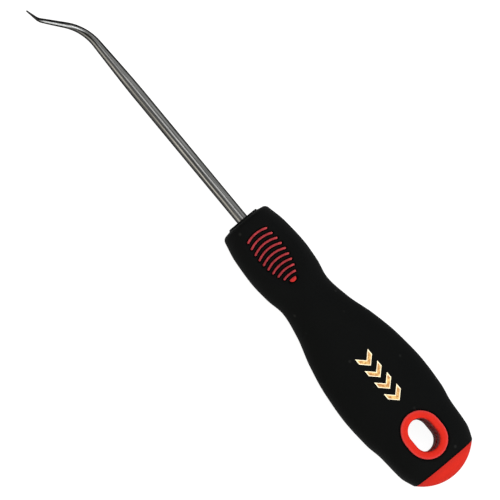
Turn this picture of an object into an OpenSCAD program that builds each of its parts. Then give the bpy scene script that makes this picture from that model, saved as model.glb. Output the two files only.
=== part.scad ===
// Angled pick for lifting O-rings and seals. A steel blade with a twice bent point is moulded into a
// two-shot handle: a red plastic core, and a black rubber grip over it. Lengths are in millimetres.
// The modules share one handle frame: X runs from the front boss at 0 to the butt, the blade points
// along -X and bends toward -Y, and the axis of the blade is the line y = 0, z = 0. Both faces are
// alike. in_place() lays the whole tool on the flat face of its ring and the foot under its shoulder.

/* [Blade] */
// Diameter of the round shank
shank_d = 4; // [3.5:0.1:4.5]
// Distance that the point reaches ahead of the handle
reach = 95.5; // [85:0.5:115]
// Length of the taper from the shank to the first bend
taper_len = 22; // [12:0.5:30]
// Diameter where the first bend starts
neck_d = 2.9; // [2.5:0.1:3.2]
// Diameter where the first bend ends
bend_end_d = 2; // [1.7:0.1:2.3]
// Diameter where the point starts to turn back
return_start_d = 1.5; // [1.3:0.1:1.7]
// Diameter where the point is straight again
return_end_d = 1; // [0.7:0.1:1.2]
// Diameter of the blunted tip
tip_d = 0.45; // [0.1:0.05:0.5]
// Angle of the first bend
bend_angle = 40; // [25:1:50]
// Angle that the point turns back
return_angle = 27; // [10:1:36]
// Centreline radius of the first bend
bend_r = 17; // [12:0.5:20]
// Centreline radius of the turn back
return_r = 5; // [4:0.5:9]
// Straight length between the two bends
mid_len = 7.6; // [5:0.1:9]
// Straight length of the point
point_len = 3.7; // [2:0.1:5]
// Length of the tang inside the handle
tang_len = 60; // [50:1:66]
// Width across the pressed wings of the tang
wing_w = 7; // [6:0.1:8]
// Thickness of the wings
wing_t = 1.5; // [1:0.1:2]

/* [Grip widths] */
// Width across the front shoulder
shoulder_w = 17.9; // [17.2:0.1:19]
// Width across the finger bulge
bulge_w = 21.8; // [20.5:0.1:23]
// Width across the waist
waist_w = 18.5; // [17.5:0.1:20]
// Width across the belly
belly_w = 32.1; // [29:0.1:34]
// Width where the tail begins
hip_w = 28.9; // [27.7:0.1:29.5]
// Width just ahead of the butt
tail_w = 27.4; // [26.8:0.1:27.6]
// Width at the end of the rubber
end_w = 23.8; // [23.6:0.1:24.5]

/* [Grip thickness] */
// Thickness at the front shoulder, before its feet are flattened
shoulder_t = 18.6; // [18.2:0.1:18.8]
// Thickness over the feet, where the shoulder meets a bench
foot_t = 17.4; // [17:0.1:17.6]
// Thickness over the finger bulge
bulge_t = 19.6; // [19:0.1:20.4]
// Thickness at the waist
waist_t = 17; // [16.5:0.1:17.6]
// Thickness over the belly
belly_t = 19.4; // [18.5:0.1:19.6]
// Thickness over the tail
tail_t = 20.8; // [20:0.1:21]
// Thickness at the end of the rubber
end_t = 17.8; // [17.4:0.1:18.5]
// Thickness of the rubber over the core
rubber_t = 2.2; // [1.8:0.1:2.4]

/* [Thumb dish] */
// Height of the dish floor above the axis
dish_floor = 6.8; // [6.4:0.1:7.6]
// Distance of the deepest point from the front
dish_x = 16; // [14:0.5:18]
// Half length at which the floor has risen by dish_rise
dish_half_len = 15; // [13:0.5:17]
// Rise of the floor over that half length
dish_rise = 3.2; // [2.8:0.1:3.6]
// Rise of the floor toward its sides, 8 mm from the middle
dish_side_rise = 1.2; // [0.5:0.1:1.5]
// Number of ribs ahead of the last, drop-shaped one
rib_count = 9; // [5:1:9]
// Distance from rib to rib
rib_pitch = 2.1; // [1.8:0.05:2.2]
// Width of a rib
rib_w = 0.7; // [0.6:0.05:0.9]
// Length of the longest rib
rib_len = 9.8; // [8:0.1:10.5]
// Radius of the arc that a rib follows
rib_bow_r = 9.8; // [8:0.1:14]
// Length of the drop behind the last rib
drop_len = 1.4; // [1.2:0.1:1.6]
// Width of the drop
drop_w = 2.4; // [1.8:0.1:2.8]
// Distance of the first rib from the front
rib_x = 6.25; // [6:0.05:6.8]
// Sideways place of the ribs, which lie a little toward the side of the point
rib_y = -0.4; // [-0.5:0.1:0.5]
// Height of the ribs above the rubber
rib_proud = 0.35; // [0.2:0.05:0.6]

/* [Hang slot] */
// Distance of the slot's centre from the end of the butt
slot_from_end = 16.6; // [16.2:0.1:17]
// Length of the slot along the handle
slot_len = 11.2; // [10:0.1:11.8]
// Width of the slot
slot_w = 8.1; // [7:0.1:8.4]
// Width of the red wall round the slot
ring_wall = 2.65; // [2.2:0.05:2.8]
// Height of the ring's faces above the axis, at the middle of the slot
ring_face = 10.2; // [10:0.05:10.5]
// Depth of the rubber below the ring's faces
ring_proud = 0.3; // [0.2:0.05:0.5]

/* [Butt] */
// Length of the handle from the front boss to the end of the dome
handle_len = 106.3; // [104:0.1:108]
// Radius of the dome, seen from above
dome_r = 15.8; // [15.4:0.1:17]
// Length of the dome behind the rubber
dome_len = 5.1; // [4.6:0.1:5.2]
// Diameter of the round boss at the front
boss_d = 11.2; // [9:0.1:13]
// Height of the boss
boss_h = 0.5; // [0.3:0.1:1]

/* [Hidden] */

// Blade: path length at which each stretch of the hook ends
bend_len = bend_r * bend_angle * PI / 180;
return_len = return_r * return_angle * PI / 180;
hook_len = bend_len + mid_len + return_len + point_len;
point_angle = bend_angle - return_angle;
hook_depth = bend_r * sin(bend_angle) + mid_len * cos(bend_angle)
    + return_r * (sin(bend_angle) - sin(point_angle)) + point_len * cos(point_angle);
hook_x = hook_depth - reach;
taper_x = hook_x + taper_len;
hook_stations = [
    [0, neck_d],
    [bend_len, bend_end_d],
    [bend_len + mid_len, return_start_d],
    [hook_len - point_len, return_end_d],
    [hook_len, tip_d]
];
hook_sides = 16;
hook_steps = 22;
// The hook starts this far inside the taper and is this much thinner, so that the two overlap cleanly
hook_overlap = 1;
hook_fit = 0.98;
wing_x = 36;
wing_len = 11;

// Handle: places along X
rubber_end = handle_len - dome_len;
slot_x = handle_len - slot_from_end;
corner_r = 1.5;
corner_x = 0.85;
core_front = 3;

// The tool rests on a plane through the face of its ring and the foot under its front shoulder. The
// plane is rest_slope steeper than the blade's axis, and X = 0 is the middle of the whole length.
foot_x = 3;
rest_slope = (ring_face - foot_t / 2) / (slot_x - foot_x);
rest_angle = atan(rest_slope);
middle_x = (reach - handle_len) / 2 * cos(rest_angle);
function rest_height(x) = ring_face + rest_slope * (x - slot_x);

// The body is clear of that plane by ring_proud behind the waist, and by nothing at the foot
function body_limit(x) = rest_height(x) - ring_proud * min(max((x - 15) / 30, 0), 1);

// Half widths, as [x, half width], with the flanks at a share of the way between two main widths
function between(a, b, share) = (a + share * (b - a)) / 2;
width_stations = [
    [2, shoulder_w / 2],
    [9, between(shoulder_w, bulge_w, 0.72)],
    [18, bulge_w / 2],
    [25, between(bulge_w, waist_w, 0.31)],
    [31.6, waist_w / 2],
    [40, between(waist_w, belly_w, 0.18)],
    [50, between(waist_w, belly_w, 0.6)],
    [60, between(waist_w, belly_w, 0.88)],
    [71, belly_w / 2],
    [81, between(belly_w, hip_w, 0.34)],
    [87, hip_w / 2],
    [96, tail_w / 2],
    [rubber_end, end_w / 2]
];
height_stations = [
    [2, shoulder_t / 2],
    [18, bulge_t / 2],
    [31.6, waist_t / 2],
    [50, between(waist_t, belly_t, 0.7)],
    [68, belly_t / 2],
    [94, tail_t / 2],
    [rubber_end, end_t / 2]
];
// A section is round at power 2, and its corners fill out as the power grows
power_stations = [[2, 2], [31.6, 2.1], [60, 2.3], [84, 2.7], [rubber_end, 2.6]];

grip_sides = 36;
core_sides = 20;
blend = 1.2;

// Smooth curve through stations [x, value]. A station that is a high or low point stays one.
function rise(st, i) = (st[i + 1][1] - st[i][1]) / (st[i + 1][0] - st[i][0]);
function slope(st, i) =
    i == 0 ? rise(st, 0)
    : i == len(st) - 1 ? rise(st, i - 1)
    : let (a = rise(st, i - 1), b = rise(st, i))
        a * b <= 0 ? 0 : 2 * a * b / (a + b);
function segment(st, x) = max([for (i = [0 : len(st) - 2]) if (i == 0 || st[i][0] <= x) i]);
function curve(st, x) =
    let (i = segment(st, x), w = st[i + 1][0] - st[i][0], t = (x - st[i][0]) / w)
    (2 * pow(t, 3) - 3 * t * t + 1) * st[i][1]
    + (pow(t, 3) - 2 * t * t + t) * w * slope(st, i)
    + (3 * t * t - 2 * pow(t, 3)) * st[i + 1][1]
    + (pow(t, 3) - t * t) * w * slope(st, i + 1);

// Lower of two heights, with a rounded change from one to the other
function soft_min(a, b, k) =
    let (h = max(k - abs(a - b), 0) / k) min(a, b) - h * h * k / 4;

// Height of the thumb dish, a shallow bowl that is deepest at dish_x
function dish(x, y) =
    dish_floor + dish_rise * pow((x - dish_x) / dish_half_len, 2) + dish_side_rise * pow(y / 8, 2);

// One closed ring of the grip at x, drawn inward by inset: a rounded section, flattened by the dish
// and by the plane that the tool rests on
function grip_ring(x, inset, sides) = [
    for (j = [0 : sides - 1])
    let (
        a = 360 * (j + 0.5) / sides,
        p = 2 / curve(power_stations, x),
        y = (curve(width_stations, x) - inset) * sign(cos(a)) * pow(abs(cos(a)), p),
        z = (curve(height_stations, x) - inset) * pow(abs(sin(a)), p),
        top = soft_min(z, dish(x, y) - inset, blend)
    )
    [x, y, sign(sin(a)) * soft_min(top, body_limit(x) - inset, blend / 4)]
];

// Solid through a list of rings with the same number of points
module loft(rings) {
    n = len(rings[0]);
    last = len(rings) - 1;
    polyhedron(
        points = [for (ring = rings) each ring],
        faces = [
            [for (j = [0 : n - 1]) j],
            for (i = [0 : last - 1], j = [0 : n - 1])
                let (a = i * n + j, b = i * n + (j + 1) % n)
                each [[a, a + n, b], [b, a + n, b + n]],
            [for (j = [n - 1 : -1 : 0]) last * n + j]
        ]
    );
}

// Outer form of the grip: crowned front, rounded corner, and the long body
module grip_form() {
    front = [for (f = [0, 30, 60])
        [corner_x + corner_r * (1 - cos(f)), corner_r * (1 - sin(f))]];
    foot = [for (x = [corner_x + corner_r, 3.8]) [x, 0]];
    body = [for (x = [6.85 : 3.05 : 94]) [x, 0]];
    tail = [for (x = [96, 98, rubber_end - 1.5, rubber_end]) [x, 0]];
    stations = concat([[boss_h, (shoulder_w - boss_d) / 2 - 0.3]], front, foot, body, tail);
    loft([for (s = stations) grip_ring(s[0], s[1], grip_sides)]);
}

// Face between core and rubber
module core_form() {
    nose = [[core_front, rubber_t + 1.4], [core_front + 1.2, rubber_t]];
    body = [for (x = [8.5 : 5.5 : rubber_end - 4]) [x, rubber_t]];
    loft([for (s = concat(nose, body, [[rubber_end, rubber_t]])) grip_ring(s[0], s[1], core_sides)]);
}

// Butt dome: a ball's cap seen from above, flattened to the thickness of the handle
module dome() {
    edge = asin(sqrt(pow(dome_r, 2) - pow(dome_r - dome_len, 2)) / dome_r);
    squash = (end_t - 0.6) / 2 / (dome_r * sin(edge));
    p = 2 / curve(power_stations, rubber_end);
    loft([
        for (share = [1, 0.82, 0.64, 0.46, 0.28, 0.1])
        let (f = edge * share, r = dome_r * sin(f))
        [for (j = [0 : grip_sides - 1])
            let (a = 360 * (j + 0.5) / grip_sides, c = cos(a), s = sin(a))
            [handle_len - dome_r * (1 - cos(f)),
                r * sign(c) * pow(abs(c), p), r * squash * sign(s) * pow(abs(s), p)]]
    ]);
}

// Outline with straight sides and round ends, grown outward by g. The ends draw out a little as it
// grows, so the wall's outline is nearly oval.
function stadium(g) =
    let (r = slot_w / 2 + g, half = (slot_len - slot_w) / 2 - g / 5, long = slot_len / 2 + g - half, n = 10)
    concat(
        [for (k = [0 : n]) [half + long * sin(180 * k / n), -r * cos(180 * k / n)]],
        [for (k = [0 : n]) [-half - long * sin(180 * k / n), r * cos(180 * k / n)]]
    );

// Solid through stadium outlines at the levels [z, growth], listed upward. The levels follow the
// slope of the rest plane.
module stadium_loft(levels) {
    loft([
        for (l = levels)
        [for (q = stadium(l[1])) [slot_x + q[0], q[1], l[0] * (1 + q[0] * rest_slope / ring_face)]]
    ]);
}

// Hang slot: drafted from both faces to a narrow band at the middle, with rounded mouths
module slot() {
    mouth = 0.9;
    upper = [
        [0.9, -0.15],
        [1.1, 0],
        [ring_face - mouth, 0.15],
        [ring_face - 0.35 * mouth, 0.15 + 0.3 * mouth],
        [ring_face + 0.35 * mouth, 0.15 + 1.7 * mouth]
    ];
    lower = [for (k = [len(upper) - 1 : -1 : 0]) [-upper[k][0], upper[k][1]]];
    stadium_loft(concat(lower, upper));
}

// Red wall round the slot, with its outer edges rounded
module slot_ring() {
    upper = [[ring_face - 0.5, ring_wall], [ring_face - 0.15, ring_wall - 0.15], [ring_face, ring_wall - 0.5]];
    lower = [for (k = [2 : -1 : 0]) [-upper[k][0], upper[k][1]]];
    stadium_loft(concat(lower, upper));
}

// Length of rib k: the ribs fill an oval thumb zone that is widest at the fourth
function rib_length(k) = rib_len * pow(1 - pow((k - 3) / 6.4, 2), 0.7);

// Post of diameter d, from inside the core to above the dish, with its corners turned by a
module rib_post(x, y, d, a = 0) {
    translate([x, y, 3])
        rotate(a)
            cylinder(d = d, h = 7.5, $fn = 8);
}

// Ribs of one face: arcs bowed toward the shank, and a drop with its round side toward the butt
module rib_row() {
    steps = 4;
    for (k = [0 : rib_count - 1]) {
        x = rib_x + k * rib_pitch;
        half_angle = asin((rib_length(k) - rib_w) / 2 / rib_bow_r);
        for (s = [0 : steps - 1])
            hull()
                for (a = [2 * s / steps - 1, 2 * (s + 1) / steps - 1] * half_angle)
                    rib_post(x + rib_bow_r * (1 - cos(a)), rib_y + rib_bow_r * sin(a), rib_w, -a);
    }
    drop_x = rib_x + rib_count * rib_pitch;
    hull() {
        rib_post(drop_x, rib_y, drop_len);
        for (side = [-1, 1])
            rib_post(drop_x - drop_len / 6, rib_y + side * (drop_w - drop_len / 2) / 2, drop_len / 2);
    }
}

// Form that the ribs rise to, a little above the rubber
module rib_tops() {
    loft([for (x = [3 : 4 : 31]) grip_ring(x, -rib_proud, core_sides)]);
}

module ribs() {
    intersection() {
        union() {
            rib_row();
            mirror([0, 0, 1]) rib_row();
        }
        rib_tops();
    }
}

// Pressed wings that lock the tang in the core
module wings() {
    half = wing_w / 2;
    translate([0, 0, -wing_t / 2])
        linear_extrude(wing_t)
            polygon([
                [wing_x, -1], [wing_x + 2.5, -half], [wing_x + wing_len - 2.5, -half],
                [wing_x + wing_len, -1], [wing_x + wing_len, 1], [wing_x + wing_len - 2.5, half],
                [wing_x + 2.5, half], [wing_x, 1]
            ]);
}

// Round hole that just clears the shank, from the front boss to the end of the tang
module shank_hole() {
    sides = 24;
    translate([-1, 0, 0])
        rotate([0, 90, 0])
            cylinder(d = shank_d / cos(180 / sides), h = tang_len + 1, $fn = sides);
}

// Centreline of the hook at path length q from the first bend, as [x, y, heading]
function hook_at(q) =
    let (
        q0 = min(q, 0),
        a1 = bend_angle * max(min(q, bend_len), 0) / bend_len,
        q2 = max(min(q - bend_len, mid_len), 0),
        q3 = max(min(q - bend_len - mid_len, return_len), 0),
        a3 = return_angle * q3 / return_len,
        q4 = max(q - bend_len - mid_len - return_len, 0),
        a = a1 - a3
    )
    [
        hook_x - q0 - bend_r * sin(a1) - q2 * cos(a1) - return_r * (sin(a1) - sin(a)) - q4 * cos(a),
        -bend_r * (1 - cos(a1)) - q2 * sin(a1) - return_r * (cos(a) - cos(a1)) - q4 * sin(a),
        a
    ];

module hook() {
    loft([
        for (q = [for (i = [hook_steps : -1 : 0]) hook_len * i / hook_steps, -hook_overlap])
        let (c = hook_at(q), r = hook_fit * curve(hook_stations, q) / 2)
        [for (j = [0 : hook_sides - 1])
            let (b = 360 * j / hook_sides)
            [c[0] - r * cos(b) * sin(c[2]), c[1] + r * cos(b) * cos(c[2]), r * sin(b)]]
    ]);
}

module in_place() {
    translate([middle_x, 0, rest_height(0) * cos(rest_angle)])
        rotate([0, -rest_angle, 0])
            children();
}

module pick_blade() {
    color([0.62, 0.61, 0.6])
        in_place() {
            hook();
            translate([hook_x, 0, 0])
                rotate([0, 90, 0])
                    cylinder(d1 = neck_d, d2 = shank_d, h = taper_len, $fn = 48);
            translate([taper_x, 0, 0])
                rotate([0, 90, 0])
                    cylinder(d = shank_d, h = tang_len - taper_x, $fn = 48);
            wings();
        }
}

module handle_core() {
    color([0.86, 0.16, 0.13])
        in_place()
            difference() {
                union() {
                    core_form();
                    dome();
                    slot_ring();
                    ribs();
                }
                slot();
                shank_hole();
                wings();
            }
}

module grip_sleeve() {
    color([0.09, 0.09, 0.09])
        in_place()
            difference() {
                union() {
                    grip_form();
                    rotate([0, 90, 0])
                        cylinder(d = boss_d, h = 1, $fn = 48);
                }
                core_form();
                slot_ring();
                ribs();
                shank_hole();
            }
}

pick_blade();
handle_core();
grip_sleeve();
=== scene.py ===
# Angled pick lying on a pale floor: drawn steel blade, red two-shot core, black rubber grip.
# Shapes are worked out in the handle's own frame in millimetres: X from the front boss at 0 to the
# butt, the blade along -X, its axis at y = z = 0. place() then lays them on the floor in metres.
# A pair such as (0.7, 0.2) says where a mask starts and where it is full.
import math
import bmesh
import bpy
import numpy as np
from mathutils import Matrix, Vector


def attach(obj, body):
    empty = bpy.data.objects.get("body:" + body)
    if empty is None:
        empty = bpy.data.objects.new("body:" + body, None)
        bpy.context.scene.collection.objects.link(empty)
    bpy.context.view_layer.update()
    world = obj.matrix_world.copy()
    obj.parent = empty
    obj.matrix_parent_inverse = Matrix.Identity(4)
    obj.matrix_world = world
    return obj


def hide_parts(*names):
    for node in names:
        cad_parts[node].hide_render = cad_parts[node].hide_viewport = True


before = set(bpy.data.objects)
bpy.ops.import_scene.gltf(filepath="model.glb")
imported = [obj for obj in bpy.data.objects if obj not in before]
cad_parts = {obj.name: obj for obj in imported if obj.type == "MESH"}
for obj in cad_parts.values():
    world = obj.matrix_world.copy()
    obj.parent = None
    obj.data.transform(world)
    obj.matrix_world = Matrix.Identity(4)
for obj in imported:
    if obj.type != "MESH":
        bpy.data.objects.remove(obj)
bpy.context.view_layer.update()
print("frame loaded:", ", ".join(sorted(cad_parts)))


# How the tool lies: on the lower face of its ring and on the foot under its front shoulder
lie = {"ringFace": 10.2, "footHalf": 8.7, "footX": 3.0, "slotX": 89.7, "handleLen": 106.3, "reach": 95.5}
restSlope = (lie["ringFace"] - lie["footHalf"]) / (lie["slotX"] - lie["footX"])
restAngle = math.atan(restSlope)
restCos, restSin = math.cos(restAngle), math.sin(restAngle)
faceAtFront = lie["ringFace"] - restSlope * lie["slotX"]
middleX = (lie["reach"] - lie["handleLen"]) / 2 * restCos


# Turns handle points by the rest angle about Y, lifts them onto the floor, and gives metres.
def place(points):
    p = np.asarray(points, dtype=float)
    out = np.empty_like(p)
    out[..., 0] = p[..., 0] * restCos - p[..., 2] * restSin + middleX
    out[..., 1] = p[..., 1]
    out[..., 2] = p[..., 0] * restSin + p[..., 2] * restCos + faceAtFront * restCos
    return out / 1000


# Turns a handle direction into the floor's frame.
def turn(direction):
    x, y, z = direction
    return (x * restCos - z * restSin, y, x * restSin + z * restCos)


# Curves and forms

# Smooth curve through stations [x, value]: each stretch is a cubic whose end slopes are the
# harmonic mean of the rises on both sides, and level where the rise changes sign.
def curve(stations, x):
    st = np.asarray(stations, dtype=float)
    width = np.diff(st[:, 0])
    rise = np.diff(st[:, 1]) / width
    slope = np.empty(len(st))
    slope[0], slope[-1] = rise[0], rise[-1]
    sameWay = rise[:-1] * rise[1:]
    total = np.where(rise[:-1] + rise[1:] == 0, 1, rise[:-1] + rise[1:])
    slope[1:-1] = np.where(sameWay <= 0, 0, 2 * sameWay / total)
    x = np.asarray(x, dtype=float)
    i = np.clip(np.searchsorted(st[:, 0], x, side="right") - 1, 0, len(st) - 2)
    t = (x - st[i, 0]) / width[i]
    return ((2 * t**3 - 3 * t**2 + 1) * st[i, 1] + (t**3 - 2 * t**2 + t) * width[i] * slope[i]
            + (3 * t**2 - 2 * t**3) * st[i + 1, 1] + (t**3 - t**2) * width[i] * slope[i + 1])


# Lower of two heights, with a rounded change over the span k.
def softMin(a, b, k):
    h = np.maximum(k - np.abs(a - b), 0) / k
    return np.minimum(a, b) - h * h * k / 4


# 0 up to start, 1 from full on, and an S curve between. start may be the larger one.
def smoothStep(start, full, x):
    t = np.clip((x - start) / (full - start), 0, 1)
    return t * t * (3 - 2 * t)


# Signed power, which squares up a circle.
def signedPower(value, exponent):
    return np.sign(value) * np.abs(value) ** exponent


# Angles of count points evenly round a circle, the first one offset steps past 0.
def evenAngles(count, offset=0.0):
    return (np.arange(count) + offset) * 2 * math.pi / count


# Meshes

# Mesh from floor points and faces. Edges sharper than sharpAngle degrees stay sharp.
def newMesh(name, points, faces, sharpAngle=50):
    mesh = bpy.data.meshes.new(name)
    mesh.from_pydata(points.tolist(), [], faces)
    mesh.validate()
    mesh.polygons.foreach_set("use_smooth", np.ones(len(mesh.polygons), dtype=bool))
    mesh.set_sharp_from_angle(angle=math.radians(sharpAngle))
    return mesh


# Piece from handle points and faces, laid on the floor
def addMesh(name, points, faces, sharpAngle=50):
    piece = bpy.data.objects.new(name, newMesh(name, place(points), faces, sharpAngle))
    bpy.context.scene.collection.objects.link(piece)
    return piece


# All points of a mesh, as rows of x, y and z
def meshPoints(mesh):
    points = np.empty(len(mesh.vertices) * 3)
    mesh.vertices.foreach_get("co", points)
    return points.reshape(-1, 3)


# x, y and z of a piece's points in the handle's frame: place() taken back
def handlePoints(piece):
    x, y, z = meshPoints(piece.data).T * 1000
    x = x - middleX
    z = z - faceAtFront * restCos
    return x * restCos + z * restSin, y, z * restCos - x * restSin


# Stores a value or a vector at each point of a piece, for its material to read.
def storeValues(piece, name, values, kind="FLOAT"):
    made = piece.data.attributes.new(name, kind, "POINT")
    made.data.foreach_set("value" if kind == "FLOAT" else "vector", values.ravel())


# Upright ring of points, all at x
def ringAt(x, y, z):
    return np.column_stack([np.full(len(y), x), y, z])


# Quads of a grid of rings, each closed round; wrap joins the last ring to the first.
def tubeFaces(rings, around, wrap):
    i = np.arange(rings if wrap else rings - 1)[:, None]
    j = np.arange(around)[None, :]
    nextI = (i + 1) % rings
    nextJ = (j + 1) % around
    a = i * around + j
    b = nextI * around + j
    c = nextI * around + nextJ
    d = i * around + nextJ
    return np.stack([a, d, c, b], axis=-1).reshape(-1, 4).tolist()


# Points and faces of a tube through the rings of grid, each end closed by a fan on a pole.
def closedTube(grid):
    rings, around = grid.shape[:2]
    poles = np.stack([grid[0].mean(axis=0), grid[-1].mean(axis=0)])
    points = np.concatenate([grid.reshape(-1, 3), poles])
    j = np.arange(around)
    nextJ = (j + 1) % around
    first = np.stack([nextJ, j, np.full(around, rings * around)], axis=-1)
    lastRing = (rings - 1) * around
    last = np.stack([lastRing + j, lastRing + nextJ, np.full(around, rings * around + 1)], axis=-1)
    faces = tubeFaces(rings, around, False) + first.tolist() + last.tolist()
    return points, faces


# Points and faces of several shells as one list.
def merged(shells):
    points, faces, start = [], [], 0
    for shellPoints, shellFaces in shells:
        points.append(shellPoints)
        faces.extend([[v + start for v in face] for face in shellFaces])
        start += len(shellPoints)
    return np.concatenate(points), faces


# Boolean of two closed meshes. The cutter is used up.
def cut(piece, cutter, operation="DIFFERENCE"):
    tool = piece.modifiers.new("cut", "BOOLEAN")
    tool.operation = operation
    tool.solver = "MANIFOLD"
    tool.object = cutter
    shaped = bpy.data.meshes.new_from_object(piece.evaluated_get(bpy.context.evaluated_depsgraph_get()))
    piece.modifiers.clear()
    old = piece.data
    piece.data = shaped
    bpy.data.meshes.remove(old)
    used = cutter.data
    bpy.data.objects.remove(cutter)
    bpy.data.meshes.remove(used)


# Takes out the slivers left by the cuts: joins points closer than a hundredth of a millimetre, splits
# the faces into triangles, and drops each pair that lies back to back on the same three points.
def weld(piece, reach=0.00001):
    sheet = bmesh.new()
    sheet.from_mesh(piece.data)
    bmesh.ops.remove_doubles(sheet, verts=sheet.verts[:], dist=reach)
    bmesh.ops.dissolve_degenerate(sheet, edges=sheet.edges[:], dist=reach)
    rough = piece.data
    sheet.to_mesh(rough)
    sheet.free()
    rough.calc_loop_triangles()
    corners = np.empty(len(rough.loop_triangles) * 3, dtype=np.int32)
    rough.loop_triangles.foreach_get("vertices", corners)
    corners = corners.reshape(-1, 3)
    found, count = np.unique(np.sort(corners, axis=1), axis=0, return_inverse=True, return_counts=True)[1:]
    used, kept = np.unique(corners[count[found.ravel()] == 1], return_inverse=True)
    piece.data = newMesh(piece.name, meshPoints(rough)[used], kept.reshape(-1, 3).tolist())
    bpy.data.meshes.remove(rough)


# Grip

# Half widths, half heights and powers of the squared-up ellipse stand at their X. "bossRim" is
# (outward from bossR, X), "endRim" is (X, inset), and "rings" is (from, to, step), finest over the
# ribs. The shear values say where the rings follow the ribs' arcs.
grip = {
    "widths": [
        [2, 8.95], [9, 10.354], [18, 10.9], [25, 10.3885], [31.6, 9.25], [40, 10.474], [50, 13.33],
        [60, 15.234], [71, 16.05], [81, 15.506], [87, 14.45], [96, 13.7], [101.2, 11.9],
    ],
    "heights": [[2, 9.3], [18, 9.8], [31.6, 8.5], [50, 9.34], [68, 9.7], [94, 10.4], [101.2, 8.9]],
    "powers": [[2, 2], [31.6, 2.1], [60, 2.3], [84, 2.7], [101.2, 2.6]],
    "blend": 1.2, "faceBlend": 0.3, "proud": 0.3, "proudFrom": 15, "proudOver": 30,
    "dishFloor": 6.8, "dishX": 16.0, "dishHalfLen": 15.0, "dishHalfW": 8, "dishRise": 3.2,
    "dishSideRise": 1.2,
    "cornerX": 0.85, "cornerR": 1.5, "holeR": 2.0, "bossInnerR": 3.4, "bossR": 5.6,
    "bossRim": [(-0.5, 0), (-0.2, 0.04), (-0.04, 0.16), (0, 0.36), (0.05, 0.5)], "frontShares": (0.3, 0.65),
    "around": 224, "rings": [(2.6, 5.0, 0.4), (5.2, 28.2, 0.13), (28.6, 80, 1.0), (80.4, 100.8, 0.5)],
    "shearFrom": (3.2, 6.0), "shearTo": (31, 26), "shearSide": (9.5, 6.0), "shearHalf": 6.5,
    "grooveDepth": 0.3, "grooveLip": (0.34, 0.02), "slitIn": 0.15, "slitDepth": 0.4,
    "ringDip": 0.4, "ringLip": (0.8, 0.1), "ringDipZ": (6, 8),
    "rubberEnd": 101.2, "endRim": [(100.95, 0.05), (101.1, 0.14), (101.19, 0.3), (101.2, 2.0)],
    "rubberT": 2.2, "coreNose": [(3.0, 1.4), (4.2, 0)], "coreFrom": 5.5, "coreStep": 1.6,
    "coreGap": 0.5, "coreCutEnd": 102.0, "coreAround": 192, "cutterAround": 96,
    "sleeveBore": (-1.0, 8.0), "coreBore": (1.0, 60.0),
}
# "band" is the narrow band at mid height, as (growth, height), and the ring's wall reaches into the
# core by "overlap".
slot = {
    "length": 11.2, "width": 8.1, "wall": 2.65, "mouth": 0.9, "edgeR": 0.5, "draft": 0.15, "overlap": 0.3,
    "drawOut": 5, "wallHeights": (7.6, 6.0, 4.4, 2.8, 1.4), "bandHalf": 1.0,
    "band": [(0.0, 1.1), (-0.04, 1.04), (-0.12, 0.96), (-0.15, 0.88), (-0.15, 0.4)],
}
# The drop's two halves are given as (share of its radius, power along X, power along Y), and
# "dropCrest" as (share of the outline, depth under the crest).
rib = {
    "count": 9, "firstX": 6.25, "middleY": -0.4, "pitch": 2.1, "width": 0.7, "bowR": 9.8,
    "length": 9.8, "longest": 3, "zoneHalf": 6.4, "zonePower": 0.7, "reachY": 6,
    "proud": 0.35, "crestShare": 0.8, "foot": 3.6, "squared": 0.8,
    "dropR": 0.64, "dropHalfW": 1.2, "dropGap": 0.03, "dropShift": 0.4,
    "dropButt": (1.4, 1.0, 1.1), "dropShank": (0.6, 0.6, 0.8),
    "dropCrest": [(1, 3.6), (1, 0.3), (0.96, 0.17), (0.86, 0.07), (0.6, 0.01), (0.3, 0)],
}
# Where the painted shade (at the rubber's seams, on the slot's wall and at the dome's rim), the painted
# reflection on the slot's wall and the painted highlights lie, in millimetres
paintedShadeAndHighlight = {
    "ribSeam": (0.7, 0.2), "ribSeamZ": (4.8, 5.8), "ringSeam": (0.7, 0.1), "ringSeamZ": (7, 8),
    "domeSeam": (0.7, 0.2),
    "wall": (-1.2, -1.6), "mouth": (9.9, 8.6), "bandWidth": 0.5, "bandPaintedReflection": 0.6, "rim": (2.4, 0),
    "edgeIn": (-0.6, -0.25), "edgeOut": (0.3, 0.1), "edgeZ": (9.3, 9.8), "tips": (1.8, 0.3),
    "ribsEnd": 24.0,
}


# Floor of the thumb dish: rises with the square of the distance along and across.
def dishHeight(x, y):
    along = ((x - grip["dishX"]) / grip["dishHalfLen"]) ** 2
    across = (y / grip["dishHalfW"]) ** 2
    return grip["dishFloor"] + grip["dishRise"] * along + grip["dishSideRise"] * across


# Height above the blade's axis of the plane that the tool lies on: it rises evenly along X.
def restHeight(x):
    return faceAtFront + restSlope * x


# Highest that the rubber may stand at x: under that plane, by "proud" once past the waist.
def faceLimit(x):
    return restHeight(x) - grip["proud"] * np.clip((x - grip["proudFrom"]) / grip["proudOver"], 0, 1)


# y and z of the grip at x, drawn inward by inset: a squared-up ellipse whose height is limited by
# the dish and by the plane that the tool lies on.
def gripSection(x, inset, angle):
    exponent = 2 / curve(grip["powers"], x)
    y = (curve(grip["widths"], x) - inset) * signedPower(np.cos(angle), exponent)
    z = (curve(grip["heights"], x) - inset) * np.abs(np.sin(angle)) ** exponent
    top = softMin(z, dishHeight(x, y) - inset, grip["blend"])
    return y, np.sign(np.sin(angle)) * softMin(top, faceLimit(x) - inset, grip["faceBlend"])


# Height of the squared-up ellipse and its dish at x, y, all of it grown outward by growth.
def crestHeight(x, y, growth):
    exponent = 2 / curve(grip["powers"], x)
    cosine = np.clip(np.abs(y) / (curve(grip["widths"], x) + growth), 0, 1) ** (1 / exponent)
    height = (curve(grip["heights"], x) + growth) * np.sqrt(1 - cosine**2) ** exponent
    return softMin(height, dishHeight(x, y) + growth, grip["blend"])


# Height of the grip's upper face at x, y.
def gripTop(x, y):
    return softMin(crestHeight(x, y, 0), faceLimit(x), grip["faceBlend"])


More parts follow.
